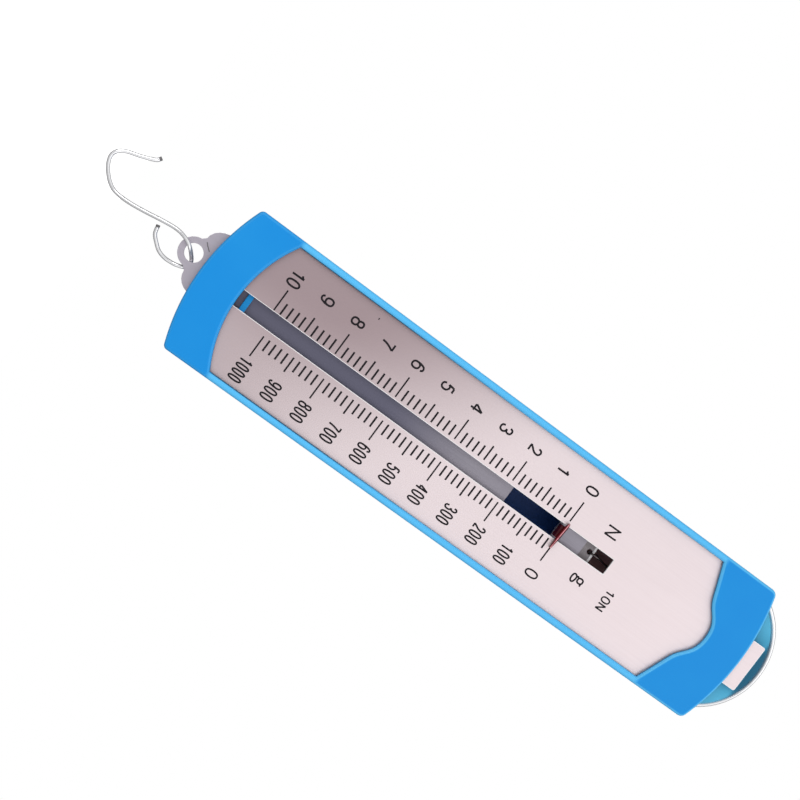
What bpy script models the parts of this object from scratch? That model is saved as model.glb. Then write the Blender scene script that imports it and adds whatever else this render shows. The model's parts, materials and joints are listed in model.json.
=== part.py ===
"""Flat box spring force meter, 0 to 10 newtons, hanging from its wire loop.

A two-part plastic case holds an aluminium scale plate, an extension spring and a steel pull plate.
The pull plate carries the pointer and leaves the case at the bottom, where an S-shaped wire hook
takes the load. X runs across the case, the scale faces -Y and +Z points up to the hanging loop.
The origin is the inside of the loop's crown, where the loop rests on whatever it hangs from.
"""
import math

import bmesh
import bpy
from mathutils import Matrix, Vector

MM = 0.001
GAP = 0.3 * MM  # clearance between neighbouring pieces

# Hanging loop, which fixes the origin
LOOP_WIRE_RADIUS = 0.75 * MM
LOOP_HALF_WIDTH = 19.6 * MM  # centre lines of the legs
LOOP_RADIUS = 20.8 * MM  # centre line of the crown
LOOP_CORNER = 8.0 * MM
LOOP_TRAVEL = 12.0 * MM
ZERO_MARK_Z = -73.8 * MM  # the scale's zero line, below the origin

# Case
CASE_HALF_WIDTH = 22.35 * MM
CASE_FRONT = -7.2 * MM
CASE_BACK = 9.5 * MM
WALL = 1.6 * MM
SEAM_FRONT = -1.1 * MM  # lower edge of the bezel's wall
SEAM_BACK = -0.8 * MM  # upper edge of the rear shell's wall
RING_END = 64.4 * MM  # heights from the zero mark
HOOK_END = -121.8 * MM
RING_END_RADIUS = 68.0 * MM
HOOK_END_RADIUS = 62.0 * MM
RING_CORNER_RADIUS = 2.0 * MM
HOOK_CORNER_RADIUS = 1.5 * MM
FRONT_ROUNDING = 1.0 * MM
BACK_ROUNDING = 1.8 * MM
DOME_HALF_WIDTH = 18.5 * MM
DOME_TOP = 72.0 * MM
DOME_RADIUS = 20.3 * MM
DOME_CORNER = 4.0 * MM
DOME_FRONT = -3.9 * MM
DOME_FOOT = 51.6 * MM  # lower end of the dome's inner wall, which stops the loop's feet
SHOULDER_FOOT = 53.4 * MM  # lower end of the space that the loop's crown sweeps

# Window in the bezel
WINDOW_HALF_WIDTH = 20.25 * MM
WINDOW_HOOK_END = -109.5 * MM
WINDOW_HOOK_RADIUS = 40.3 * MM
WINDOW_BEVEL = 1.0 * MM
BAND_UNDERSIDE = -5.8 * MM

# Scale plate
PLATE_FRONT = -5.5 * MM
PLATE_BACK = -4.7 * MM
PLATE_HALF_WIDTH = 20.45 * MM
PLATE_TOP = 57.5 * MM
PLATE_BOTTOM = -114.0 * MM
PLATE_TAB_TOP = 68.9 * MM
PLATE_TAB_HALF_WIDTH = 7.55 * MM
SLOT_HALF_WIDTH = 2.47 * MM
SLOT_TOP = 16.9 * MM
ZERO_TRAVEL = 1.5 * MM  # zero adjustment, each way

# Pull plate and pointer
PULL_TRAVEL = 104.5 * MM
STRIP_FRONT = -2.7 * MM
STRIP_BACK = -1.7 * MM
STRIP_HALF_WIDTH = 5.0 * MM
TONGUE_FRONT = 0.5 * MM
TONGUE_BACK = 1.5 * MM
TONGUE_TOP = 13.4 * MM
CRANK_TOP = 8.5 * MM  # where the strip is cranked back to the spring's axis
SHEET = 1.0 * MM
POINTER_DROOP = 3.0  # degrees that the bar's right end hangs down
RIVET_HEIGHT = -0.35 * MM
RIVET_HOLE_RADIUS = 0.55 * MM
SEAT_DEPTH = 1.2 * MM  # how far the shoulders stand inside the case
LOBE_OUTER = 9.6 * MM  # half width across the shoulders
EYE_X = -2.4 * MM
EYE_HEIGHT = -125.8 * MM
EYE_RADIUS = 2.6 * MM
EYE_RIM_RADIUS = 4.35 * MM

# Spring
SPRING_Y = 1.0 * MM
SPRING_WIRE_RADIUS = 0.3 * MM
SPRING_RADIUS = 3.75 * MM
SPRING_TURNS = 42
SPRING_TOP = 52.0 * MM
SPRING_BOTTOM = 22.0 * MM
TOP_HOOK_RADIUS = 2.8 * MM
TOP_HOOK_HEIGHT = 58.0 * MM
LOW_HOOK_RADIUS = 2.4 * MM
LOW_HOOK_HEIGHT = 14.1 * MM
ANCHOR_HEIGHT = 59.0 * MM

# Screw posts: centres as (x, height)
CASE_POSTS = [(-13 * MM, 52.5 * MM), (13 * MM, 52.5 * MM), (-13 * MM, -113.2 * MM), (13 * MM, -113.2 * MM)]
CASE_POST_NAMES = ["upper_left", "upper_right", "lower_left", "lower_right"]
POST_RADIUS = 3.2 * MM
BOSS_RADIUS = 2.2 * MM

# Guide bridge over the pull strip, near the hook end
BRIDGE_TOP = -106.0 * MM
BRIDGE_BOTTOM = -107.7 * MM
BRIDGE_FRONT = -4.4 * MM
BRIDGE_POST_X = 9.0 * MM
BRIDGE_POST_HEIGHT = -107.5 * MM

# Load hook
HOOK_WIRE_RADIUS = 0.55 * MM

COLOURS = {
    # name: (red, green, blue), roughness, metallic
    "blue_plastic": ((0.02, 0.28, 0.70), 0.38, 0.0),
    "guide_plastic": ((0.02, 0.20, 0.58), 0.45, 0.0),
    "aluminium": ((0.82, 0.77, 0.78), 0.42, 0.9),
    "sheet_steel": ((0.45, 0.43, 0.46), 0.40, 0.9),
    "chrome_wire": ((0.78, 0.78, 0.80), 0.12, 1.0),
    "spring_steel": ((0.50, 0.50, 0.53), 0.28, 1.0),
    "screw_steel": ((0.55, 0.55, 0.57), 0.30, 1.0),
    "red_plastic": ((0.60, 0.03, 0.03), 0.35, 0.0),
    "white_plastic": ((0.75, 0.74, 0.70), 0.50, 0.0),
    "foam": ((0.03, 0.03, 0.035), 0.95, 0.0),
}


# --- scene and object helpers -------------------------------------------------------------------

def clear_scene():
    """Remove whatever the file held before."""
    for old in list(bpy.data.objects):
        bpy.data.objects.remove(old, do_unlink=True)


def up(height):
    """World Z of a height measured from the scale's zero mark."""
    return ZERO_MARK_Z + height


def link(name, data):
    """Make an object from mesh or curve data and put it in the model's collection."""
    made = bpy.data.objects.new(name, data)
    MODEL.objects.link(made)
    return made


def material(name):
    """The named material, made on first use."""
    found = bpy.data.materials.get(name)
    if found:
        return found
    colour, roughness, metallic = COLOURS[name]
    made = bpy.data.materials.new(name)
    made.use_nodes = True
    shader = made.node_tree.nodes["Principled BSDF"]
    shader.inputs["Base Color"].default_value = (*colour, 1.0)
    shader.inputs["Roughness"].default_value = roughness
    shader.inputs["Metallic"].default_value = metallic
    return made


def finish(made, material_name, sharp_degrees=35):
    """Give a finished piece its material and its smooth shading."""
    made.data.materials.clear()
    made.data.materials.append(material(material_name))
    if made.type == "MESH":
        made.data.shade_smooth()
        made.data.set_sharp_from_angle(angle=math.radians(sharp_degrees))
    return made


def bake(made):
    """Replace an object's data by its evaluated mesh, with loose caps welded."""
    bpy.context.view_layer.update()
    evaluated = made.evaluated_get(bpy.context.evaluated_depsgraph_get())
    mesh = bpy.data.meshes.new_from_object(evaluated)
    welded = bmesh.new()
    welded.from_mesh(mesh)
    bmesh.ops.remove_doubles(welded, verts=welded.verts, dist=0.001 * MM)
    welded.to_mesh(mesh)
    welded.free()
    if made.type == "MESH":
        made.modifiers.clear()
        made.data = mesh
        return made
    baked = link(made.name, mesh)
    baked.matrix_world = made.matrix_world
    name = made.name
    bpy.data.objects.remove(made, do_unlink=True)
    baked.name = name
    return baked


def set_origin(made, point):
    """Put an object's origin at a world point, without moving its shape."""
    target = Vector(point)
    made.data.transform(Matrix.Translation(-target) @ made.matrix_world)
    made.matrix_world = Matrix.Translation(target)
    return made


def cut(target, tool, operation="DIFFERENCE"):
    """Apply a Boolean of the tool to the target, then remove the tool."""
    modifier = target.modifiers.new("Boolean", "BOOLEAN")
    modifier.operation = operation
    modifier.object = tool
    modifier.solver = "EXACT"
    bake(target)
    bpy.data.objects.remove(tool, do_unlink=True)
    return target


def add(target, tool):
    """Join the tool's shape to the target."""
    return cut(target, tool, "UNION")


# --- shape helpers ------------------------------------------------------------------------------

def arc(centre, radius, start, stop, steps):
    """Points on a circle, from start to stop degrees."""
    points = []
    for i in range(steps + 1):
        angle = math.radians(start + (stop - start) * i / steps)
        points.append((centre[0] + radius * math.cos(angle), centre[1] + radius * math.sin(angle)))
    return points


def flat_solid(name, outlines, front, back):
    """A solid with the given outlines in X and height, between two depths; later outlines are holes."""
    curve = bpy.data.curves.new(name, "CURVE")
    curve.dimensions = "2D"
    curve.fill_mode = "BOTH"
    curve.extrude = (back - front) / 2
    for outline in outlines:
        spline = curve.splines.new("POLY")
        spline.points.add(len(outline) - 1)
        for point, (x, height) in zip(spline.points, outline):
            point.co = (x, height, 0, 1)
        spline.use_cyclic_u = True
    made = link(name, curve)
    made.rotation_euler = (math.pi / 2, 0, 0)
    made.location = (0, (front + back) / 2, ZERO_MARK_Z)
    made = bake(made)
    merge_flat_faces(made)
    return set_origin(made, (0, 0, 0))


def merge_flat_faces(made):
    """Join the triangles of each flat face into one face, so that a bevel runs cleanly along it."""
    flat = bmesh.new()
    flat.from_mesh(made.data)
    bmesh.ops.dissolve_limit(flat, angle_limit=math.radians(0.05), verts=flat.verts, edges=flat.edges)
    flat.to_mesh(made.data)
    flat.free()


def block(name, x_range, y_range, heights, rounding=0):
    """A box between the given X, Y and height limits."""
    shape = bmesh.new()
    bmesh.ops.create_cube(shape, size=1)
    size = Vector((x_range[1] - x_range[0], y_range[1] - y_range[0], heights[1] - heights[0]))
    centre = Vector((sum(x_range) / 2, sum(y_range) / 2, up(sum(heights) / 2)))
    bmesh.ops.scale(shape, vec=size, verts=shape.verts)
    bmesh.ops.translate(shape, vec=centre, verts=shape.verts)
    if rounding:
        bmesh.ops.bevel(shape, geom=shape.edges, offset=rounding, segments=2, profile=0.5, affect="EDGES")
    mesh = bpy.data.meshes.new(name)
    shape.to_mesh(mesh)
    shape.free()
    return link(name, mesh)


def rod(name, x, height, radius, front, back, sides=20):
    """A cylinder along Y."""
    shape = bmesh.new()
    bmesh.ops.create_cone(shape, cap_ends=True, segments=sides, radius1=radius, radius2=radius, depth=back - front)
    place = Matrix.Translation((x, (front + back) / 2, up(height))) @ Matrix.Rotation(-math.pi / 2, 4, "X")
    bmesh.ops.transform(shape, matrix=place, verts=shape.verts)
    mesh = bpy.data.meshes.new(name)
    shape.to_mesh(mesh)
    shape.free()
    return link(name, mesh)


def turned(name, profile, x, height, steps=16):
    """A turned piece along Y, from (radius, y) points that run from its back face to its front."""
    mesh = bpy.data.meshes.new(name)
    verts = [(radius, 0, y) for radius, y in profile]
    edges = [(i, i + 1) for i in range(len(profile) - 1)]
    mesh.from_pydata(verts, edges, [])
    made = link(name, mesh)
    spin = made.modifiers.new("Screw", "SCREW")
    spin.steps = steps
    spin.render_steps = steps
    spin.use_merge_vertices = True
    spin.merge_threshold = 0.00001
    made.rotation_euler = (-math.pi / 2, 0, 0)
    made.location = (x, 0, up(height))
    bake(made)
    return set_origin(made, (x, 0, up(height)))


def wire(name, points, radius, roundness=2):
    """A round wire along world points; roundness 1 gives it six sides and 2 gives it eight."""
    curve = bpy.data.curves.new(name, "CURVE")
    curve.dimensions = "3D"
    curve.bevel_depth = radius
    curve.bevel_resolution = roundness
    curve.use_fill_caps = True
    spline = curve.splines.new("POLY")
    spline.points.add(len(points) - 1)
    for point, place in zip(spline.points, points):
        point.co = (*place, 1)
    return link(name, curve)


def smooth_path(points, steps):
    """Points on a smooth curve through the given ones."""
    guides = [Vector(point) for point in points]
    guides = [guides[0] * 2 - guides[1]] + guides + [guides[-1] * 2 - guides[-2]]
    path = []
    for a, b, c, d in zip(guides, guides[1:], guides[2:], guides[3:]):
        for step in range(steps):
            t = step / steps
            path.append(0.5 * ((2 * b) + (c - a) * t + (2 * a - 5 * b + 4 * c - d) * t * t
                               + (3 * b - a - 3 * c + d) * t * t * t))
    path.append(guides[-2])
    return path


def round_edges(made, depth, width, segments, low=-1.0):
    """Round the edges that lie in the plane at this depth and bound a wall, above a world height."""
    shape = bmesh.new()
    shape.from_mesh(made.data)
    chosen = []
    for edge in shape.edges:
        in_plane = all(abs(vert.co.y - depth) < 0.01 * MM and vert.co.z > low for vert in edge.verts)
        if in_plane and any(abs(face.normal.y) < 0.1 for face in edge.link_faces):
            chosen.append(edge)
    bmesh.ops.bevel(shape, geom=chosen, offset=width, segments=segments, profile=0.5,
                    affect="EDGES", clamp_overlap=True)
    shape.to_mesh(made.data)
    shape.free()


# --- outlines -----------------------------------------------------------------------------------

def end_arc(half_width, crown, radius, corner, side):
    """One end of the case, from its right side to its left; side is 1 for the ring end, -1 for the hook end."""
    centre = crown - side * radius
    corner_x = half_width - corner
    corner_height = centre + side * math.sqrt((radius - corner) ** 2 - corner_x ** 2)
    turn = math.degrees(math.atan2(abs(corner_height - centre), corner_x))
    right = arc((corner_x, corner_height), corner, 0, side * turn, 5)
    crown_arc = arc((0, centre), radius, side * turn, side * (180 - turn), 20)
    left = arc((-corner_x, corner_height), corner, side * (180 - turn), side * 180, 5)
    return right + crown_arc[1:-1] + left


def case_outline(inset=0.0):
    """The case seen from the front, moved inwards by the inset."""
    ring_corner = max(RING_CORNER_RADIUS - inset, 0.4 * MM)
    hook_corner = max(HOOK_CORNER_RADIUS - inset, 0.4 * MM)
    half_width = CASE_HALF_WIDTH - inset
    ring = end_arc(half_width, RING_END - inset, RING_END_RADIUS - inset, ring_corner, 1)
    hook = end_arc(half_width, HOOK_END + inset, HOOK_END_RADIUS - inset, hook_corner, -1)
    return ring + hook[::-1]


def window_outline():
    """The bezel's window: an ogee under the ring-end band and a plain arc at the hook-end band."""
    slope, soften, base = 0.44, 6.0 * MM, 51.8 * MM
    bump, bump_width = 2.66 * MM, 7.1 * MM
    steps = 36
    points = []
    for i in range(steps + 1):
        x = WINDOW_HALF_WIDTH * (1 - 2 * i / steps)
        height = base - slope * math.hypot(x, soften) + bump * math.exp(-(x / bump_width) ** 4)
        points.append((x, height))
    half_angle = math.degrees(math.asin(WINDOW_HALF_WIDTH / WINDOW_HOOK_RADIUS))
    centre = (0, WINDOW_HOOK_END + WINDOW_HOOK_RADIUS)
    return points + arc(centre, WINDOW_HOOK_RADIUS, 270 - half_angle, 270 + half_angle, 20)


def dome_outline(inset, foot):
    """The round end that fills the hanging loop, moved inwards by the inset, cut off level at the foot height."""
    half_width = DOME_HALF_WIDTH - inset
    crown = end_arc(half_width, DOME_TOP - inset, DOME_RADIUS - inset, DOME_CORNER - inset, 1)
    return [(half_width, foot)] + crown + [(-half_width, foot)]


# --- case ---------------------------------------------------------------------------------------

def make_front_bezel():
    """Bands and rims in one moulding, with the window, four screw bosses and its openings."""
    bezel = flat_solid("front_bezel", [case_outline()], CASE_FRONT, SEAM_FRONT)
    round_edges(bezel, CASE_FRONT, FRONT_ROUNDING, 4)
    cut(bezel, flat_solid("cavity", [case_outline(WALL)], BAND_UNDERSIDE, SEAM_FRONT + 1 * MM))
    cut(bezel, flat_solid("window", [window_outline()], CASE_FRONT - 1 * MM, BAND_UNDERSIDE + 1 * MM))
    round_edges(bezel, CASE_FRONT, WINDOW_BEVEL, 4)
    for x, height in CASE_POSTS:
        add(bezel, rod("boss", x, height, BOSS_RADIUS, BAND_UNDERSIDE - 0.3 * MM, SEAM_FRONT))
        cut(bezel, rod("pilot", x, height, 1.2 * MM, -5.0 * MM, SEAM_FRONT + 1 * MM, 16))
    tab_room = PLATE_TAB_HALF_WIDTH + GAP
    cut(bezel, block("tab_slot", (-tab_room, tab_room), (BAND_UNDERSIDE, -4.1 * MM), (61 * MM, 67 * MM)))
    recess = dome_outline(-0.35 * MM, 58 * MM)
    cut(bezel, flat_solid("dome_recess", [recess], DOME_FRONT - GAP, SEAM_FRONT + 1 * MM))
    strip_depth = (STRIP_FRONT - 0.4 * MM, SEAM_FRONT + 1 * MM)
    strip_room = STRIP_HALF_WIDTH + GAP
    cut(bezel, block("strip_notch", (-strip_room, strip_room), strip_depth, (-124 * MM, -118 * MM)))
    shoulder_room = (EYE_X - LOBE_OUTER - GAP, EYE_X + LOBE_OUTER + GAP)
    cut(bezel, block("shoulder_notch", shoulder_room, strip_depth, (-124 * MM, -119.1 * MM)))
    return finish(bezel, "blue_plastic")


def loop_way():
    """The space that the loop's crown sweeps through the rear shell's shoulders as it is drawn out."""
    side, top = 20.7 * MM, 75 * MM
    inner = dome_outline(-0.1 * MM, SHOULDER_FOOT)[::-1]
    outline = [(side, top), (-side, top), (-side, SHOULDER_FOOT)] + inner + [(side, SHOULDER_FOOT)]
    return flat_solid("loop_way", [outline], SEAM_BACK - 0.5 * MM, LOOP_WIRE_RADIUS + 0.35 * MM)


def make_rear_shell():
    """Deep tray with the dome, the loop's channels, ledges, screw posts and the anchor's boss."""
    floor = CASE_BACK - WALL
    shell = flat_solid("rear_shell", [case_outline()], SEAM_BACK, CASE_BACK)
    round_edges(shell, CASE_BACK, BACK_ROUNDING, 3)
    cut(shell, flat_solid("cavity", [case_outline(WALL)], SEAM_BACK - 1 * MM, floor))
    dome = flat_solid("dome", [dome_outline(0, DOME_FOOT)], DOME_FRONT, CASE_BACK)
    round_edges(dome, DOME_FRONT, 0.7 * MM, 2, low=up(DOME_FOOT + 1 * MM))
    round_edges(dome, CASE_BACK, BACK_ROUNDING, 3, low=up(DOME_FOOT + 1 * MM))
    add(shell, dome)
    under_plate = ((-19 * MM, 19 * MM), (DOME_FRONT - 1 * MM, SEAM_BACK), (50 * MM, 57 * MM))
    cut(shell, block("under_plate", *under_plate))
    dome_room = dome_outline(WALL, 50 * MM)
    cut(shell, flat_solid("dome_room", [dome_room], DOME_FRONT + 1.5 * MM, floor))
    cut(shell, loop_way())
    for side in (-1, 1):
        channel = sorted((side * 15.8 * MM, side * 21.2 * MM))
        add(shell, block("channel_shelf", channel, (1.1 * MM, 2.3 * MM), (33 * MM, 60 * MM)))
        ledge = sorted((side * 17.0 * MM, side * 21.2 * MM))
        add(shell, block("foam_ledge", ledge, (SEAM_BACK + 0.1 * MM, 0.6 * MM), (-100 * MM, 26 * MM)))
        add(shell, rod("bridge_post", side * BRIDGE_POST_X, BRIDGE_POST_HEIGHT, 2.0 * MM, -1.9 * MM, floor + 0.5 * MM))
        cut(shell, rod("bridge_hole", side * BRIDGE_POST_X, BRIDGE_POST_HEIGHT, 1.0 * MM, -3 * MM, 4.0 * MM, 12))
    add(shell, block("pad_wall", (-6 * MM, 6 * MM), (1.2 * MM, floor + 0.5 * MM), (-111 * MM, -107.5 * MM)))
    for x, height in CASE_POSTS:
        add(shell, rod("post", x, height, POST_RADIUS, SEAM_BACK, floor + 0.5 * MM))
        cut(shell, rod("screw_way", x, height, 1.3 * MM, SEAM_BACK - 1 * MM, CASE_BACK + 1 * MM, 16))
        cut(shell, rod("counterbore", x, height, 2.3 * MM, 4.5 * MM, CASE_BACK + 1 * MM, 20))
    add(shell, rod("anchor_boss", 0, ANCHOR_HEIGHT, 3.5 * MM, 4.8 * MM, floor + 0.5 * MM))
    cut(shell, rod("anchor_way", 0, ANCHOR_HEIGHT, 1.2 * MM, 3 * MM, CASE_BACK + 1 * MM, 16))
    cut(shell, rod("anchor_counterbore", 0, ANCHOR_HEIGHT, 2.3 * MM, 7.0 * MM, CASE_BACK + 1 * MM, 20))
    return finish(shell, "blue_plastic")


# --- fasteners ----------------------------------------------------------------------------------

def make_screw(name, x, height, seat, tip, head_radius, shank_radius, head_height, facing=1):
    """Pan-head screw along Y; seat is the head's bearing face, and facing 1 puts the head at the back."""
    top = seat + facing * head_height
    shoulder = seat + facing * head_height * 0.45
    taper = tip + facing * shank_radius
    rim = 0.75 * head_radius
    side = [(0, top), (rim, top), (head_radius, shoulder), (head_radius, seat),
            (shank_radius, seat), (shank_radius, taper), (0.35 * shank_radius, tip), (0, tip)]
    if facing < 0:
        side = side[::-1]
    screw = turned(name, side, x, height)
    reach, thickness = 0.6 * head_radius, 0.14 * head_radius
    depth = sorted((top + facing * 1 * MM, top - facing * 0.55 * head_height))
    for wide, tall in ((reach, thickness), (thickness, reach)):
        arm = block("cross", (x - wide, x + wide), depth, (height - tall, height + tall))
        set_origin(arm, (0, 0, 0))
        cut(screw, arm)
    return finish(screw, "screw_steel")


def make_screws():
    """Four case screws, the spring anchor's screw and the two bridge screws."""
    for name, (x, height) in zip(CASE_POST_NAMES, CASE_POSTS):
        make_screw("case_screw_" + name, x, height, 4.8 * MM, -4.5 * MM, 1.9 * MM, 0.9 * MM, 1.6 * MM)
    make_screw("anchor_screw", 0, ANCHOR_HEIGHT, 7.3 * MM, 3.3 * MM, 1.9 * MM, 0.8 * MM, 1.4 * MM)
    for name, side in (("left", -1), ("right", 1)):
        make_screw("bridge_screw_" + name, side * BRIDGE_POST_X, BRIDGE_POST_HEIGHT, -3.3 * MM, 3.5 * MM,
                   1.4 * MM, 0.7 * MM, 1.0 * MM, facing=-1)


# --- fixed inner pieces -------------------------------------------------------------------------

def make_spring_anchor():
    """Grooved steel post that the spring's top hook hangs on, threaded for the screw behind it."""
    profile = [(0, 4.5 * MM), (2.8 * MM, 4.5 * MM), (3.0 * MM, 4.3 * MM), (3.0 * MM, 2.6 * MM),
               (1.2 * MM, 2.4 * MM), (1.2 * MM, -0.3 * MM), (2.0 * MM, -0.5 * MM),
               (2.0 * MM, -1.1 * MM), (1.7 * MM, -1.4 * MM), (0, -1.4 * MM)]
    anchor = turned("spring_anchor", profile, 0, ANCHOR_HEIGHT)
    cut(anchor, rod("thread", 0, ANCHOR_HEIGHT, 1.1 * MM, 3.0 * MM, 6 * MM, 16))
    return finish(anchor, "screw_steel")


def make_guide_bridge():
    """Blue bar across the front of the pull strip; the pointer's neck stops against it at full travel."""
    bar = block("guide_bridge", (-11 * MM, 11 * MM), (BRIDGE_FRONT, -3.1 * MM), (BRIDGE_BOTTOM, BRIDGE_TOP))
    for side in (-1, 1):
        ear_x = sorted((side * 6.6 * MM, side * 11.4 * MM))
        add(bar, block("ear", ear_x, (BRIDGE_FRONT, -2.2 * MM), (-110.0 * MM, -105.0 * MM)))
        cut(bar, rod("ear_hole", side * BRIDGE_POST_X, BRIDGE_POST_HEIGHT, 1.0 * MM, -5 * MM, 0, 16))
        cut(bar, rod("ear_recess", side * BRIDGE_POST_X, BRIDGE_POST_HEIGHT, 1.7 * MM, -5 * MM, -3.0 * MM, 20))
    return finish(bar, "guide_plastic")


def make_guide_pad():
    """White slide pad behind the pull strip, opposite the bridge."""
    pad = block("rear_guide_pad", (-6.2 * MM, 6.2 * MM), (-1.4 * MM, 0.9 * MM), (-111.6 * MM, -107.0 * MM), 0.3 * MM)
    return finish(pad, "white_plastic")


def make_foam_strips():
    """Foam strips that press the scale plate against the rims, so that it stays where it is set."""
    for name, side in (("left", -1), ("right", 1)):
        x_range = sorted((side * 17.4 * MM, side * 20.4 * MM))
        strip = block("plate_foam_" + name, x_range, (-4.4 * MM, -1.1 * MM), (-98 * MM, 24 * MM), 0.4 * MM)
        finish(strip, "foam")


# --- moving pieces ------------------------------------------------------------------------------

def make_scale_plate():
    """Aluminium plate with the pointer's slot, the setting tab and slots round the screw bosses."""
    tab_corner = 0.6 * MM
    half_tab = PLATE_TAB_HALF_WIDTH - tab_corner
    tab_height = PLATE_TAB_TOP - tab_corner
    notch_x, notch_half, notch_top = 13 * MM, BOSS_RADIUS + GAP, -113.2 * MM + ZERO_TRAVEL
    right = [(SLOT_HALF_WIDTH, PLATE_BOTTOM), (notch_x - notch_half, PLATE_BOTTOM)]
    right += arc((notch_x, notch_top), notch_half, 180, 0, 10)
    right += [(notch_x + notch_half, PLATE_BOTTOM), (PLATE_HALF_WIDTH, PLATE_BOTTOM)]
    right += arc((PLATE_HALF_WIDTH - 1 * MM, PLATE_TOP - 1 * MM), 1 * MM, 0, 90, 4)
    right += [(PLATE_TAB_HALF_WIDTH, PLATE_TOP)]
    right += arc((half_tab, tab_height), tab_corner, 0, 90, 4)
    left = [(-x, height) for x, height in reversed(right)]
    outline = right + left + [(-SLOT_HALF_WIDTH, SLOT_TOP), (SLOT_HALF_WIDTH, SLOT_TOP)]
    holes = []
    for side in (-1, 1):
        centre_x, centre_height = side * 13 * MM, 52.5 * MM
        top = arc((centre_x, centre_height + ZERO_TRAVEL), notch_half, 0, 180, 8)
        bottom = arc((centre_x, centre_height - ZERO_TRAVEL), notch_half, 180, 360, 8)
        holes.append(top + bottom)
    plate = flat_solid("scale_plate", [outline] + holes, PLATE_FRONT, PLATE_BACK)
    return finish(plate, "aluminium")


def make_hanging_loop():
    """Wire bail: feet turned inwards, straight legs in the case's channels and a round crown."""
    top = -ZERO_MARK_Z + LOOP_WIRE_RADIUS  # the crown's inside touches the origin
    crown = end_arc(LOOP_HALF_WIDTH, top, LOOP_RADIUS, LOOP_CORNER, 1)
    bend = 1.4 * MM
    foot_height = DOME_FOOT - LOOP_WIRE_RADIUS - 0.35 * MM - LOOP_TRAVEL
    foot_end = 16.6 * MM
    right = [(foot_end, foot_height)]
    right += arc((LOOP_HALF_WIDTH - bend, foot_height + bend), bend, 270, 360, 4)
    right += [(LOOP_HALF_WIDTH, 0.5 * (foot_height + crown[0][1]))]
    left = [(-x, height) for x, height in reversed(right)]
    path = [(x, 0, up(height)) for x, height in right + crown + left]
    return finish(wire("hanging_loop", path, LOOP_WIRE_RADIUS), "chrome_wire")


def pull_outline():
    """Front view of the pull plate: tongue, strip, shoulders that follow the case's end, and the eye."""
    seat_centre = HOOK_END + SEAT_DEPTH + HOOK_END_RADIUS

    def seat(x):
        """Height of the shoulders' top edge at this x; it follows the case's lower edge."""
        return seat_centre - math.sqrt(HOOK_END_RADIUS ** 2 - x ** 2)

    lobe_inner, neck = 5.3 * MM, EYE_HEIGHT + 0.6 * MM

    def lobe(side):
        """Rounded shoulder, from the case's edge down to the neck."""
        edge = EYE_X + side * LOBE_OUTER
        depth = seat(edge) - neck
        points = []
        for i in range(7):
            turn = math.radians(15 * i)
            x = EYE_X + side * (lobe_inner + (LOBE_OUTER - lobe_inner) * math.cos(turn))
            points.append((x, neck + depth * (1 - math.sin(turn))))
        return points

    def seat_run(start, stop):
        """Points along the case's lower edge."""
        return [(start + (stop - start) * i / 4, seat(start + (stop - start) * i / 4)) for i in range(5)]

    tongue = 3.4 * MM
    right = [(tongue, TONGUE_TOP), (tongue, CRANK_TOP), (STRIP_HALF_WIDTH, CRANK_TOP)]
    right += seat_run(STRIP_HALF_WIDTH, EYE_X + LOBE_OUTER)[:-1] + lobe(1)
    rim = arc((EYE_X, EYE_HEIGHT), EYE_RIM_RADIUS, -6, -174, 20)
    left = lobe(-1)[::-1] + seat_run(EYE_X - LOBE_OUTER, -STRIP_HALF_WIDTH)[1:]
    left += [(-STRIP_HALF_WIDTH, CRANK_TOP), (-tongue, CRANK_TOP), (-tongue, TONGUE_TOP)]
    return right + rim + left


def make_pull_plate():
    """Sheet-steel strip, cranked back at the top to the spring, with the window and the eye."""
    low = EYE_HEIGHT - 6 * MM
    side_view = [(STRIP_FRONT, low), (STRIP_BACK, low), (STRIP_BACK, CRANK_TOP - SHEET),
                 (TONGUE_BACK, CRANK_TOP - SHEET), (TONGUE_BACK, TONGUE_TOP + 1 * MM),
                 (TONGUE_FRONT, TONGUE_TOP + 1 * MM), (TONGUE_FRONT, CRANK_TOP), (STRIP_FRONT, CRANK_TOP)]
    half_width = 13 * MM
    plate = flat_solid("pull_plate", [side_view], -half_width, half_width)
    plate.rotation_euler = (0, 0, math.pi / 2)
    plate.data.transform(plate.matrix_basis)
    plate.rotation_euler = (0, 0, 0)
    cut(plate, flat_solid("front_view", [pull_outline()], -6 * MM, 6 * MM), "INTERSECT")
    cut(plate, block("window", (-3.3 * MM, 3.3 * MM), (-6 * MM, 0), (-17.8 * MM, -1.15 * MM)))
    cut(plate, rod("rivet_hole", 0, RIVET_HEIGHT, RIVET_HOLE_RADIUS, -6 * MM, 0, 12))
    cut(plate, rod("spring_hole", 0, TONGUE_TOP - 1.5 * MM, 0.8 * MM, -1 * MM, 3 * MM, 12))
    cut(plate, rod("eye", EYE_X, EYE_HEIGHT, EYE_RADIUS, -6 * MM, 3 * MM, 28))
    set_origin(plate, (0, 0, up(0)))
    return finish(plate, "sheet_steel")


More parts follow.
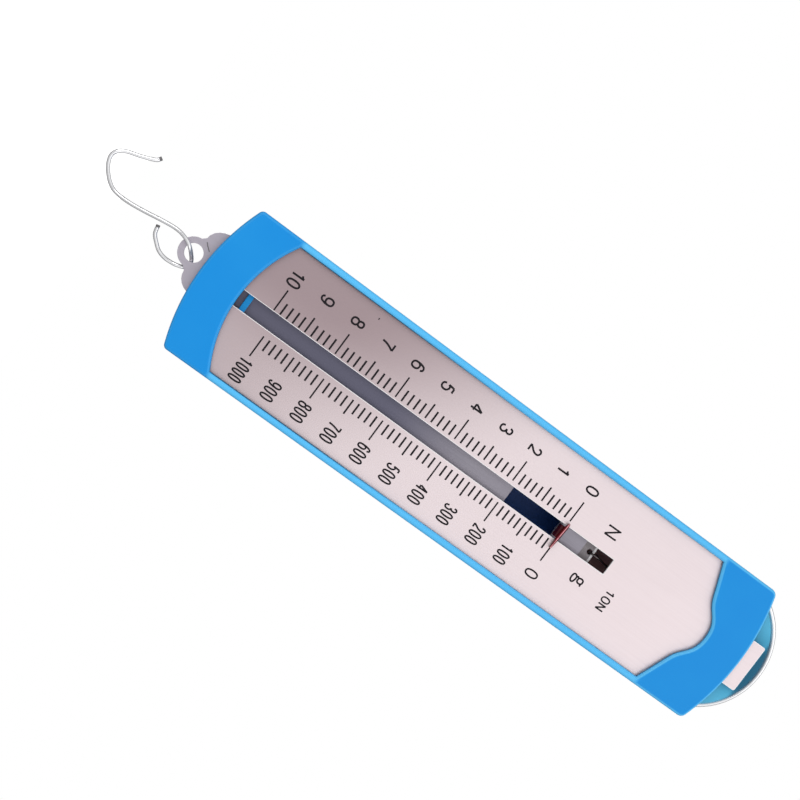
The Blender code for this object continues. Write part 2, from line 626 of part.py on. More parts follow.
def make_pointer():
    """Red bar across the slot, on a neck that reaches back to the pull plate."""
    outline = [(-3.4, -0.22), (-1.9, -0.46), (1.9, -0.50), (5.2, -0.24),
               (5.2, 0.20), (1.9, 0.42), (-1.9, 0.46), (-3.4, 0.24)]
    bar = flat_solid("pointer", [[(x * MM, height * MM) for x, height in outline]], -6.8 * MM, -5.8 * MM)
    round_edges(bar, -6.8 * MM, 0.18 * MM, 2)
    droop = Matrix.Rotation(math.radians(POINTER_DROOP), 4, "Y")
    place = Matrix.Translation((0, 0, up(0)))
    bar.data.transform(place @ droop @ place.inverted())
    neck_foot = BRIDGE_TOP + GAP + PULL_TRAVEL
    add(bar, block("neck", (-1.9 * MM, 1.9 * MM), (-5.9 * MM, -3.0 * MM), (neck_foot, 0.25 * MM)))
    cut(bar, rod("rivet_hole", 0, RIVET_HEIGHT, RIVET_HOLE_RADIUS, -5.4 * MM, -2 * MM, 12))
    set_origin(bar, (0, 0, up(0)))
    return finish(bar, "red_plastic")


def make_pointer_rivet():
    """Rivet from behind the pull plate into the pointer's neck."""
    profile = [(0, -0.8 * MM), (0.55 * MM, -0.85 * MM), (0.76 * MM, -1.1 * MM), (0.76 * MM, -1.4 * MM),
               (0.3 * MM, -1.4 * MM), (0.3 * MM, -5.1 * MM), (0, -5.1 * MM)]
    rivet = turned("pointer_rivet", profile, 0, RIVET_HEIGHT, 12)
    return finish(rivet, "screw_steel")


def make_spring():
    """Close extension spring: a hook round the anchor, the coils and a hook through the pull plate."""
    points = []
    top_hook_steps, low_hook_steps, per_turn = 11, 11, 6
    for i in range(top_hook_steps + 1):
        turn = math.radians(235 - 260 * i / top_hook_steps)
        points.append((TOP_HOOK_RADIUS * math.cos(turn), SPRING_Y,
                       up(TOP_HOOK_HEIGHT + TOP_HOOK_RADIUS * math.sin(turn))))
    coil_steps = round((SPRING_TURNS + 0.25) * per_turn)
    for i in range(coil_steps + 1):
        turn = 2 * math.pi * i / per_turn
        height = SPRING_TOP + (SPRING_BOTTOM - SPRING_TOP) * i / coil_steps
        points.append((SPRING_RADIUS * math.cos(turn), SPRING_Y + SPRING_RADIUS * math.sin(turn), up(height)))
    for i in range(low_hook_steps + 1):
        turn = math.radians(-25 + 260 * i / low_hook_steps)
        points.append((0, SPRING_Y + LOW_HOOK_RADIUS * math.cos(turn),
                       up(LOW_HOOK_HEIGHT - LOW_HOOK_RADIUS * math.sin(turn))))
    return finish(wire("spring", points, SPRING_WIRE_RADIUS, roundness=1), "spring_steel")


def make_load_hook():
    """S-shaped wire: a small loop through the pull plate's eye, a shank and an open hook."""
    # Each point is (across, down, depth), across and down in millimetres from the eye's centre
    small_loop = [(-0.4, 11.7, -1.75), (2, 11.1, -1.6), (3.8, 9.4, -1.3), (5.1, 7.7, -1.0),
                  (5.7, 5.7, -0.8), (5.7, 3.7, -0.7), (5.4, 1.8, -0.7), (4.7, 0.1, -0.7)]
    through_eye = [(3.5, -0.8, -0.72), (2.4, -0.7, -0.75), (1.55, -0.25, -1.1), (0.55, 0.5, -2.15),
                   (-0.35, 1.3, -3.15), (-1.1, 2.2, -3.6)]
    shank = [(-1.9, 3.9, -3.7), (-2.4, 5.9, -3.6), (-2.45, 8.1, -3.45), (-2, 11.7, -3.3),
             (-1.2, 16.6, -3.0), (-0.7, 20.8, -2.8), (-0.65, 23.9, -2.6)]
    big_hook = [(-1.05, 26.3, -2.4), (-2.2, 28.3, -2.3), (-4, 30.1, -2.2), (-6, 31.4, -2.2),
                (-8, 31.9, -2.2), (-9.8, 31.1, -2.2), (-11.1, 29.1, -2.2), (-12.1, 26.1, -2.2),
                (-13.1, 23.5, -2.2), (-14, 21.7, -2.2), (-15.1, 20.9, -2.2)]
    guides = []
    for across, down, depth in small_loop + through_eye + shank + big_hook:
        guides.append((EYE_X + across * MM, depth * MM, up(EYE_HEIGHT - down * MM)))
    hook = wire("load_hook", smooth_path(guides, 3), HOOK_WIRE_RADIUS)
    set_origin(hook, (EYE_X, (STRIP_FRONT + STRIP_BACK) / 2, up(EYE_HEIGHT)))
    return finish(hook, "chrome_wire")


clear_scene()
MODEL = bpy.data.collections.new("box_force_meter")
bpy.context.scene.collection.children.link(MODEL)
make_front_bezel()
make_rear_shell()
make_screws()
make_spring_anchor()
make_guide_bridge()
make_guide_pad()
make_foam_strips()
make_scale_plate()
make_hanging_loop()
make_pull_plate()
make_pointer()
make_pointer_rivet()
make_spring()
make_load_hook()
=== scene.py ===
"""Looks of the flat box spring force meter: wires, spring, printed scale, materials, light and camera.

Places are in metres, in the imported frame's coordinates. X runs across the case, the scale faces -Y and +Z
points up to the hanging loop. Heights are measured along Z from the scale's zero mark.
"""

import json
import math

import bmesh
import bpy
from mathutils import Matrix, Vector


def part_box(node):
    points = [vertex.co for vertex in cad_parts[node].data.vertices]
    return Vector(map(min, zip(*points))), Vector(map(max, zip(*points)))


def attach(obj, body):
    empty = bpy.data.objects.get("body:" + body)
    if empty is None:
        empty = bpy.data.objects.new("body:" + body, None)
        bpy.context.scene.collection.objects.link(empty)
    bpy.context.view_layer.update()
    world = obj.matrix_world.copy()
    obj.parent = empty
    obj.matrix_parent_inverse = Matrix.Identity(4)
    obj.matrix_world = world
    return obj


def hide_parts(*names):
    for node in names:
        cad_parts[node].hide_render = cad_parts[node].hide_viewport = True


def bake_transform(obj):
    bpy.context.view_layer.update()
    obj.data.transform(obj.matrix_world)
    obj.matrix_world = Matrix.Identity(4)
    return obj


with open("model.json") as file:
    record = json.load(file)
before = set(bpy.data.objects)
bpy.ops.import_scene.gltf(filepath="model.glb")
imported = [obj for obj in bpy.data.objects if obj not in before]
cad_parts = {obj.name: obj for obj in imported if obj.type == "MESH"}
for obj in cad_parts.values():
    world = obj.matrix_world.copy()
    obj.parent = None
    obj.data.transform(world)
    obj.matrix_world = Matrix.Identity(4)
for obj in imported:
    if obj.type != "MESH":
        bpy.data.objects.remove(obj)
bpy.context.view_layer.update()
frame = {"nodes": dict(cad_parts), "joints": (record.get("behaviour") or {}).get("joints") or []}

MM = 0.001
JOINTS = {joint["name"]: joint for joint in frame["joints"]}
ZERO_MARK_Z = JOINTS["pull_slide"]["pos_m"][2]
EYE = Vector(JOINTS["hook_swing"]["pos_m"])
PLATE_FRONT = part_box("scale_plate")[0].y
INK = 0.02 * MM  # how far the print stands on the plate
TOUCHING = 0.001 * MM  # points closer than this are one point

# Camera: where it stands, which way it looks and which way the picture's right side points
CAMERA_PLACE = Vector((-19.5 * MM, -345.5 * MM, ZERO_MARK_Z - 108.8 * MM))
CAMERA_LOOK = Vector((0.0470, 0.9881, 0.1464))
CAMERA_RIGHT = Vector((-0.5952, -0.0900, 0.7985))
CAMERA_LENS = 57.3
FLOOR_Z = -0.365  # below the hook with the spring fully drawn out


# --- small helpers ------------------------------------------------------------------------------

def up(height):
    """World Z of a height above the zero mark."""
    return ZERO_MARK_Z + height


def oval(centre, radii, start, stop, steps, squareness=1.0):
    """Points on an ellipse, from start to stop degrees; a squareness below 1 fills its corners out."""
    points = []
    for i in range(steps + 1):
        angle = math.radians(start + (stop - start) * i / steps)
        across, high = math.cos(angle), math.sin(angle)
        points.append((centre[0] + radii[0] * math.copysign(abs(across) ** squareness, across),
                       centre[1] + radii[1] * math.copysign(abs(high) ** squareness, high)))
    return points


def arc(centre, radius, start, stop, steps):
    """Points on a circle, from start to stop degrees."""
    return oval(centre, (radius, radius), start, stop, steps)


def smooth_path(points, steps):
    """Points on a smooth curve through the given ones."""
    guides = [Vector(point) for point in points]
    guides = [guides[0] * 2 - guides[1]] + guides + [guides[-1] * 2 - guides[-2]]
    path = []
    for a, b, c, d in zip(guides, guides[1:], guides[2:], guides[3:]):
        for step in range(steps):
            t = step / steps
            path.append(0.5 * ((2 * b) + (c - a) * t + (2 * a - 5 * b + 4 * c - d) * t * t
                               + (3 * b - a - 3 * c + d) * t * t * t))
    path.append(guides[-2])
    return path


def link(name, data):
    """Make an object and put it in the scene."""
    made = bpy.data.objects.new(name, data)
    bpy.context.scene.collection.objects.link(made)
    return made


def to_mesh(made):
    """Turn a curve or text object into a mesh object with the same name, in the row frame."""
    bpy.context.view_layer.update()
    graph = bpy.context.evaluated_depsgraph_get()
    mesh = bpy.data.meshes.new_from_object(made.evaluated_get(graph))
    mesh.transform(made.matrix_world)
    name = made.name
    bpy.data.objects.remove(made, do_unlink=True)
    mesh.name = name
    return link(name, mesh)


def tubes(name, runs, roundness):
    """Round tubes as one mesh, each through world points with its own radius; a run may be closed."""
    curve = bpy.data.curves.new(name, "CURVE")
    curve.dimensions = "3D"
    curve.bevel_depth = 1.0
    curve.bevel_resolution = roundness
    curve.use_fill_caps = True
    for points, radius in runs:
        closed = (Vector(points[0]) - Vector(points[-1])).length < TOUCHING
        places = points[:-1] if closed else points
        spline = curve.splines.new("POLY")
        spline.points.add(len(places) - 1)
        spline.use_cyclic_u = closed
        for point, place in zip(spline.points, places):
            point.co = (*place, 1)
            point.radius = radius
    made = to_mesh(link(name, curve))
    shape = bmesh.new()
    shape.from_mesh(made.data)
    bmesh.ops.remove_doubles(shape, verts=shape.verts, dist=TOUCHING)
    bmesh.ops.recalc_face_normals(shape, faces=shape.faces)
    shape.to_mesh(made.data)
    shape.free()
    made.data.shade_smooth()
    made.data.set_sharp_from_angle(angle=math.radians(50))
    return made


def wire(name, points, radius, roundness=6):
    """One round wire through world points."""
    return tubes(name, [(points, radius)], roundness)


# --- materials ----------------------------------------------------------------------------------

def set_range(node, *limits):
    """Make a Map Range node rescale low..high smoothly to out_low..out_high, with clamping."""
    node.interpolation_type = "SMOOTHSTEP"
    for socket, number in zip(("From Min", "From Max", "To Min", "To Max"), limits):
        node.inputs[socket].default_value = number


class Paint:
    """A Principled material with a few short ways to add detail, all in the piece's own coordinates."""

    def __init__(self, name, colour, roughness, metallic=0.0):
        self.material = bpy.data.materials.new(name)
        self.material.use_nodes = True
        self.tree = self.material.node_tree
        self.shader = self.tree.nodes["Principled BSDF"]
        self.shader.inputs["Base Color"].default_value = (*colour, 1.0)
        self.shader.inputs["Roughness"].default_value = roughness
        self.shader.inputs["Metallic"].default_value = metallic
        self.colour = colour
        self.coordinates = self.node("ShaderNodeTexCoord").outputs["Object"]
        self.normal = None

    def node(self, kind, **values):
        """Add a node and set its properties."""
        made = self.tree.nodes.new(kind)
        for key, value in values.items():
            setattr(made, key, value)
        return made

    def link(self, source, target):
        """Connect two sockets."""
        self.tree.links.new(source, target)

    def stretched(self, scale):
        """Object coordinates multiplied by a scale for each axis."""
        mapping = self.node("ShaderNodeMapping")
        mapping.inputs["Scale"].default_value = scale
        self.link(self.coordinates, mapping.inputs["Vector"])
        return mapping.outputs["Vector"]

    def noise(self, scale, detail=3.0, sharpness=0.55, stretch=(1, 1, 1)):
        """Noise of the given frequency in cycles a metre."""
        texture = self.node("ShaderNodeTexNoise")
        texture.inputs["Scale"].default_value = scale
        texture.inputs["Detail"].default_value = detail
        texture.inputs["Roughness"].default_value = sharpness
        self.link(self.stretched(stretch), texture.inputs["Vector"])
        return texture.outputs["Fac"]

    def ramp(self, value, low, high, out_low=0.0, out_high=1.0):
        """Rescale a value from low..high to out_low..out_high, with clamping."""
        made = self.node("ShaderNodeMapRange")
        set_range(made, low, high, out_low, out_high)
        self.link(value, made.inputs["Value"])
        return made.outputs["Result"]

    def axis(self, name):
        """One of the piece's own coordinates, in metres."""
        split = self.node("ShaderNodeSeparateXYZ")
        self.link(self.coordinates, split.inputs["Vector"])
        return split.outputs[name]

    def math(self, operation, a, b):
        """A Math node on two sockets or numbers."""
        made = self.node("ShaderNodeMath", operation=operation)
        for socket, value in zip(made.inputs, (a, b)):
            if isinstance(value, (int, float)):
                socket.default_value = value
            else:
                self.link(value, socket)
        return made.outputs["Value"]

    def product(self, *factors):
        """Sockets or numbers multiplied together."""
        result = factors[0]
        for factor in factors[1:]:
            result = self.math("MULTIPLY", result, factor)
        return result

    def tint(self, factor, colour):
        """Mix another colour over the base colour where the factor is high."""
        mix = self.node("ShaderNodeMix", data_type="RGBA")
        base = self.shader.inputs["Base Color"]
        if base.is_linked:
            self.link(base.links[0].from_socket, mix.inputs["A"])
        else:
            mix.inputs["A"].default_value = (*self.colour, 1.0)
        mix.inputs["B"].default_value = (*colour, 1.0)
        self.link(factor, mix.inputs["Factor"])
        self.link(mix.outputs["Result"], base)

    def rough(self, value):
        """Drive the roughness."""
        self.link(value, self.shader.inputs["Roughness"])

    def bump(self, height, strength, distance):
        """Add a bump on top of earlier ones."""
        made = self.node("ShaderNodeBump")
        made.inputs["Strength"].default_value = strength
        made.inputs["Distance"].default_value = distance
        self.link(height, made.inputs["Height"])
        if self.normal:
            self.link(self.normal, made.inputs["Normal"])
        self.normal = made.outputs["Normal"]
        self.link(self.normal, self.shader.inputs["Normal"])


def moulded_blue(name, colour, pale):
    """Injection-moulded plastic: fine mould texture, slow flow clouding and a few scuffs."""
    paint = Paint(name, colour, 0.42)
    paint.shader.inputs["Specular IOR Level"].default_value = 0.22
    clouds = paint.noise(55, detail=2.0)
    paint.tint(paint.ramp(clouds, 0.35, 0.75, 0.0, 0.16), pale)
    scuffs = paint.noise(420, detail=5.0, sharpness=0.7, stretch=(1, 1, 0.16))
    paint.tint(paint.ramp(scuffs, 0.66, 0.78, 0.0, 0.14), pale)
    paint.rough(paint.math("ADD", paint.ramp(clouds, 0.3, 0.7, 0.38, 0.46),
                           paint.ramp(scuffs, 0.6, 0.8, 0.0, 0.10)))
    paint.bump(paint.noise(4200, detail=2.0), 0.15, 0.02 * MM)
    paint.bump(paint.noise(260, detail=1.0), 0.12, 0.05 * MM)
    return paint


def case_blue():
    """The bezel's blue, with painted highlights paler along the rims and where the front rounds over into the
    window, and painted shade darker inside the window.
    """
    paint = moulded_blue("case_blue", (0.004, 0.270, 0.730), (0.02, 0.38, 0.80))
    across = paint.math("ABSOLUTE", paint.axis("X"), 0)
    depth, height = paint.axis("Y"), paint.axis("Z")
    window_low = up(-103 * MM)
    along_window = paint.product(paint.ramp(height, up(42 * MM), up(44 * MM), 1.0, 0.0),
                                 paint.ramp(height, up(-105 * MM), window_low))
    # Painted highlight: the rims beside the window and the rounded front edge around it are tinted paler
    # blue, weaker at the hook end.
    rim_highlight = paint.product(paint.ramp(across, 20.0 * MM, 20.3 * MM), along_window)
    strength = paint.ramp(height, window_low, up(-100 * MM), 0.25, 1.0)
    bead_highlight = paint.product(paint.ramp(depth, -7.195 * MM, -7.08 * MM), strength)
    paint.tint(paint.product(paint.math("MAXIMUM", rim_highlight, bead_highlight), 0.85), (0.115, 0.56, 0.96))
    # Painted shade: a darker blue line down the inner face of the window's edge, beside the plate.
    window_wall_shade = paint.product(paint.ramp(depth, -6.60 * MM, -6.30 * MM),
                         paint.ramp(across, 20.6 * MM, 20.9 * MM, 1.0, 0.0))
    paint.tint(paint.product(window_wall_shade, 0.8), (0.002, 0.10, 0.24))
    # Painted shade: darker along the inner side of the window edge towards the hook end.
    shaded_window_side = paint.product(paint.ramp(depth, -6.95 * MM, -6.70 * MM),
                                paint.ramp(across, 21.2 * MM, 21.4 * MM, 1.0, 0.0))
    inner_edge_shade = paint.product(shaded_window_side, paint.ramp(height, up(-25 * MM), up(-75 * MM)))
    paint.tint(paint.product(inner_edge_shade, along_window, 0.85), (0.002, 0.045, 0.11))
    return paint.material


def shell_blue():
    """The rear shell's blue, a little greener outside, a deeper darker blue inside the case as painted shade,
    paler pinkish-brown inside above the zero mark, and painted light and shadow on the dome about the tab.
    """
    paint = moulded_blue("shell_blue", (0.045, 0.335, 0.545), (0.12, 0.44, 0.62))
    x, height = paint.axis("X"), paint.axis("Z")
    across = paint.math("ABSOLUTE", x, 0)
    between = paint.ramp(across, 20.9 * MM, 21.1 * MM, 1.0, 0.0)
    in_front = paint.ramp(paint.axis("Y"), 8.1 * MM, 8.3 * MM, 1.0, 0.0)
    below = paint.ramp(height, up(50 * MM), up(51 * MM), 1.0, 0.0)
    inside = paint.product(between, in_front, below)
    # Painted shade: the inside of the case is tinted a deeper, darker blue.
    paint.tint(inside, (0.03, 0.11, 0.42))
    above = paint.ramp(height, up(2 * MM), up(8 * MM))
    paint.tint(paint.product(inside, above), (0.85, 0.53, 0.55))
    dome = paint.ramp(height, up(60 * MM), up(61 * MM))
    # Painted shadow of the tab on the dome, beside its left side and above it.
    by_tab = paint.product(paint.ramp(x, -14 * MM, -8 * MM), paint.ramp(x, -6 * MM, -4 * MM, 1.0, 0.0))
    over_tab = paint.product(paint.ramp(height, up(68.8 * MM), up(70.2 * MM)),
                             paint.ramp(across, 5 * MM, 16 * MM, 1.0, 0.0))
    tab_shadow = paint.math("MAXIMUM", paint.product(by_tab, 0.2), over_tab)
    # Painted light: the dome is tinted paler towards its sides, away from the tab.
    to_sides = paint.ramp(across, 6 * MM, 13 * MM, 0.1, 0.8)
    paint.tint(paint.product(dome, to_sides), (0.10, 0.48, 0.72))
    paint.tint(paint.product(dome, tab_shadow, 0.85), (0.0, 0.07, 0.14))
    return paint.material


def guide_blue():
    """The guide bridge's darker blue, a copy of the case's blue darkened as painted shade for the bridge
    behind the plate.
    """
    return moulded_blue("guide_blue", (0.005, 0.230, 0.560), (0.03, 0.34, 0.68)).material


def satin_aluminium():
    """Anodised plate: satin, with a fine rolled grain along its length, faint handling marks and painted
    shade darkening it towards the hook end.
    """
    paint = Paint("satin_aluminium", (0.82, 0.715, 0.735), 0.46, 0.7)
    grain = paint.noise(2600, detail=4.0, sharpness=0.6, stretch=(1, 1, 0.02))
    smudge = paint.noise(38, detail=3.0)
    paint.tint(paint.ramp(grain, 0.3, 0.7, 0.0, 0.14), (0.74, 0.64, 0.65))
    paint.tint(paint.ramp(smudge, 0.45, 0.75, 0.0, 0.12), (0.70, 0.62, 0.64))
    paint.rough(paint.math("ADD", paint.ramp(grain, 0.3, 0.7, 0.42, 0.50),
                           paint.ramp(smudge, 0.4, 0.8, 0.0, 0.06)))
    paint.bump(grain, 0.10, 0.01 * MM)
    scratch = paint.noise(900, detail=6.0, sharpness=0.75, stretch=(1, 1, 0.10))
    paint.bump(paint.ramp(scratch, 0.70, 0.74), 0.08, 0.01 * MM)
    # Painted shade: the plate darkens towards the hook end along a slant, more on its -X side.
    slanted = paint.math("ADD", paint.axis("Z"), paint.axis("X"))
    plate_hook_end_shade = paint.ramp(slanted, up(-28 * MM), up(-98 * MM))
    side = paint.ramp(paint.axis("X"), -12 * MM, 12 * MM, 0.80, 0.50)
    paint.tint(paint.product(plate_hook_end_shade, side), (0.30, 0.210, 0.228))
    return paint.material


def cut_edge():
    """Bright sheared edge of the plate, with fine marks of the shear across it."""
    paint = Paint("cut_edge", (0.95, 0.93, 0.94), 0.35, 0.35)
    marks = paint.noise(3000, detail=3.0)
    paint.tint(paint.ramp(marks, 0.4, 0.8, 0.0, 0.25), (0.72, 0.70, 0.72))
    paint.rough(paint.ramp(marks, 0.3, 0.7, 0.3, 0.42))
    paint.bump(marks, 0.1, 0.01 * MM)
    return paint.material


def sheet_steel():
    """Cold-rolled sheet: rubbed along its length where it slides and clouded, with painted shade darkening it
    inside the case, more towards the hook end and on the cranked tongue, a painted highlight along the
    tongue's top edge, and the steel's lighter colour at the eye end.
    """
    # The base colour is kept darker than the steel as painted shade for the strip inside the case.
    paint = Paint("sheet_steel", (0.32, 0.30, 0.35), 0.40, 0.75)
    lines = paint.noise(3200, detail=4.0, stretch=(1, 1, 0.03))
    clouds = paint.noise(90, detail=4.0, sharpness=0.6, stretch=(1, 1, 0.35))
    paint.tint(paint.ramp(clouds, 0.40, 0.70, 0.0, 0.35), (0.36, 0.345, 0.39))
    paint.tint(paint.ramp(lines, 0.45, 0.75, 0.0, 0.20), (0.20, 0.19, 0.225))
    # Painted shade: the strip darkens towards the hook end.
    strip_hook_end_shade = paint.ramp(paint.axis("Z"), up(-28 * MM), up(-62 * MM))
    paint.tint(paint.product(strip_hook_end_shade, 0.85), (0.115, 0.115, 0.175))
    # The eye end outside the case keeps the steel's lighter colour, out of the painted shade.
    eye_end = paint.ramp(paint.axis("Z"), up(-113 * MM), up(-116 * MM))
    paint.tint(eye_end, (0.54, 0.50, 0.57))
    # Painted shade on the cranked tongue, with a painted highlight left along its top edge.
    tongue = paint.ramp(paint.axis("Y"), -1.6 * MM, -0.6 * MM)
    shade_below_lip = paint.ramp(paint.axis("Z"), up(12.6 * MM), up(12.9 * MM), 1.0, 0.0)
    paint.tint(tongue, (0.85, 0.84, 0.86))
    paint.tint(paint.product(tongue, shade_below_lip), (0.30, 0.275, 0.29))
    paint.rough(paint.math("ADD", paint.ramp(lines, 0.3, 0.7, 0.30, 0.42),
                           paint.ramp(clouds, 0.4, 0.7, 0.0, 0.08)))
    paint.bump(lines, 0.2, 0.01 * MM)
    paint.bump(clouds, 0.1, 0.03 * MM)
    return paint.material


def bright_wire(name, colour, roughness, metallic=1.0):
    """Plated wire: bright and a little uneven, with dirt in patches."""
    paint = Paint(name, colour, roughness, metallic)
    patches = paint.noise(420, detail=4.0, sharpness=0.6)
    paint.tint(paint.ramp(patches, 0.55, 0.8, 0.0, 0.35), tuple(0.6 * c for c in colour))
    paint.rough(paint.ramp(patches, 0.4, 0.8, roughness, roughness + 0.12))
    paint.bump(paint.noise(900, detail=1.0), 0.02, 0.01 * MM)
    return paint.material


def cut_wire():
    """Dark, unplated steel where the wire was cut off."""
    paint = Paint("cut_wire", (0.17, 0.165, 0.17), 0.5, 0.6)
    marks = paint.noise(3000)
    paint.tint(paint.ramp(marks, 0.4, 0.7, 0.0, 0.5), (0.20, 0.19, 0.20))
    paint.rough(paint.ramp(marks, 0.3, 0.7, 0.4, 0.6))
    paint.bump(marks, 0.3, 0.02 * MM)
    return paint.material


def screw_steel():
    """Zinc-plated screw steel."""
    paint = Paint("screw_zinc", (0.58, 0.58, 0.60), 0.28, 1.0)
    spots = paint.noise(1500, detail=4.0)
    paint.tint(paint.ramp(spots, 0.4, 0.75, 0.0, 0.4), (0.42, 0.42, 0.45))
    paint.rough(paint.ramp(spots, 0.3, 0.7, 0.2, 0.4))
    paint.bump(spots, 0.15, 0.02 * MM)
    return paint.material


def pointer_red():
    """Glossy red moulding: a pale painted highlight along the bar's ridge, with painted shade dark above it
    and on the neck.
    """
    paint = Paint("pointer_red", (0.13, 0.006, 0.010), 0.26)
    paint.shader.inputs["Specular IOR Level"].default_value = 0.2
    specks = paint.noise(1800, detail=3.0)
    paint.tint(paint.ramp(specks, 0.55, 0.8, 0.0, 0.4), (0.26, 0.03, 0.045))
    x, depth = paint.axis("X"), paint.axis("Y")
    slope = 0.052  # tangent of the bar's droop
    drooping = paint.math("ADD", paint.axis("Z"), paint.product(x, slope))
    on_bar = paint.ramp(depth, -6.62 * MM, -6.70 * MM)
    over_slot = paint.product(paint.ramp(x, -2.6 * MM, -1.6 * MM, 0.2, 1.0),
                              paint.ramp(x, 2.4 * MM, 4.0 * MM, 1.0, 0.3))
    # Painted shade: the bar's top half is darker over the slot.
    shaded_top_half = paint.ramp(drooping, up(0.06 * MM), up(0.20 * MM))
    paint.tint(paint.product(shaded_top_half, over_slot), (0.035, 0.003, 0.007))
    # Painted highlight: a broken pale pink line along the bar's ridge.
    ridge = paint.product(paint.ramp(drooping, up(-0.24 * MM), up(-0.10 * MM)),
                          paint.ramp(drooping, up(0.02 * MM), up(0.10 * MM), 1.0, 0.0))
    ridge_highlight = paint.product(ridge, paint.ramp(paint.noise(900, detail=2.0), 0.25, 0.55, 0.5, 1.0))
    paint.tint(paint.product(ridge_highlight, on_bar), (0.82, 0.34, 0.38))
    # Painted shade: the neck behind the bar is darker.
    paint.tint(paint.ramp(depth, -6.20 * MM, -5.95 * MM), (0.055, 0.003, 0.005))
    paint.rough(paint.ramp(specks, 0.3, 0.7, 0.22, 0.38))
    paint.bump(specks, 0.2, 0.02 * MM)
    return paint.material


def pad_white():
    """Natural white slide plastic."""
    paint = Paint("pad_white", (0.74, 0.73, 0.68), 0.5)
    paint.shader.inputs["Subsurface Weight"].default_value = 0.2
    paint.shader.inputs["Subsurface Radius"].default_value = (1.0 * MM, 0.8 * MM, 0.6 * MM)
    fine = paint.noise(2500)
    paint.tint(paint.ramp(fine, 0.4, 0.8, 0.0, 0.3), (0.62, 0.60, 0.55))
    paint.rough(paint.ramp(fine, 0.3, 0.7, 0.42, 0.58))
    paint.bump(fine, 0.2, 0.02 * MM)
    return paint.material


def foam_black():
    """Closed-cell foam: small cells of two sizes."""
    paint = Paint("foam_black", (0.022, 0.022, 0.026), 0.95)
    cells = paint.node("ShaderNodeTexVoronoi")
    cells.inputs["Scale"].default_value = 3200
    paint.link(paint.coordinates, cells.inputs["Vector"])
    paint.tint(paint.ramp(cells.outputs["Distance"], 0.2, 0.7, 0.0, 0.6), (0.05, 0.05, 0.055))
    paint.rough(paint.ramp(paint.noise(900), 0.3, 0.7, 0.85, 1.0))
    paint.bump(cells.outputs["Distance"], 0.6, 0.1 * MM)
    return paint.material


def printing_ink():
    """Black screen ink, thin in places."""
    paint = Paint("printing_ink", (0.012, 0.010, 0.013), 0.6)
    paint.shader.inputs["Specular IOR Level"].default_value = 0.15
    thin = paint.noise(5200, detail=4.0, sharpness=0.7)
    paint.tint(paint.ramp(thin, 0.60, 0.78, 0.0, 0.30), (0.10, 0.09, 0.095))
    paint.rough(paint.ramp(thin, 0.3, 0.7, 0.52, 0.68))
    paint.bump(thin, 0.15, 0.005 * MM)
    return paint.material


def floor_white():
    """Matt pale studio floor, lit from within so that it meets the white surroundings without an edge."""
    paint = Paint("floor_white", (0.90, 0.90, 0.90), 0.9)
    paint.shader.inputs["Specular IOR Level"].default_value = 0.1
    paint.shader.inputs["Emission Color"].default_value = (1, 1, 1, 1)
    paint.shader.inputs["Emission Strength"].default_value = 0.8
    return paint.material


# --- CAD nodes that keep their shape --------------------------------------------------------------

def soften(node, width, angle=30):
    """Weld a CAD node, break its sharp edges by a small width and shade it smoothly."""
    if node.data.attributes.get("custom_normal"):
        node.data.attributes.remove(node.data.attributes["custom_normal"])
    weld = node.modifiers.new("Weld", "WELD")
    weld.merge_threshold = 0.002 * MM
    flats = node.modifiers.new("Flats", "DECIMATE")
    flats.decimate_type = "DISSOLVE"
    flats.angle_limit = math.radians(0.3)
    if width:
        bevel = node.modifiers.new("Bevel", "BEVEL")
        bevel.width = width
        bevel.segments = 2
        bevel.limit_method = "ANGLE"
        bevel.angle_limit = math.radians(angle)
        bevel.use_clamp_overlap = True
        bevel.harden_normals = False
    node.modifiers.new("Smooth", "NODES").node_group = smooth_group()
    weighted = node.modifiers.new("Weighted", "WEIGHTED_NORMAL")
    weighted.mode = "FACE_AREA"
    weighted.weight = 80
    weighted.keep_sharp = True


def smooth_group():
    """Geometry nodes that shade a mesh smooth except along edges sharper than 40 degrees."""
    found = bpy.data.node_groups.get("smooth_by_angle")
    if found:
        return found
    group = bpy.data.node_groups.new("smooth_by_angle", "GeometryNodeTree")
    group.interface.new_socket("Geometry", in_out="INPUT", socket_type="NodeSocketGeometry")
    group.interface.new_socket("Geometry", in_out="OUTPUT", socket_type="NodeSocketGeometry")
    enter, leave = group.nodes.new("NodeGroupInput"), group.nodes.new("NodeGroupOutput")
    faces = group.nodes.new("GeometryNodeSetShadeSmooth")
    edges = group.nodes.new("GeometryNodeSetShadeSmooth")
    edges.domain = "EDGE"
    angle = group.nodes.new("GeometryNodeInputMeshEdgeAngle")
    shallow = group.nodes.new("FunctionNodeCompare")
    shallow.operation = "LESS_THAN"
    shallow.inputs["B"].default_value = math.radians(40)
    group.links.new(enter.outputs["Geometry"], faces.inputs["Geometry"])
    group.links.new(angle.outputs["Unsigned Angle"], shallow.inputs["A"])
    group.links.new(faces.outputs["Geometry"], edges.inputs["Geometry"])
    group.links.new(shallow.outputs["Result"], edges.inputs["Shade Smooth"])
    group.links.new(edges.outputs["Geometry"], leave.inputs["Geometry"])
    return group


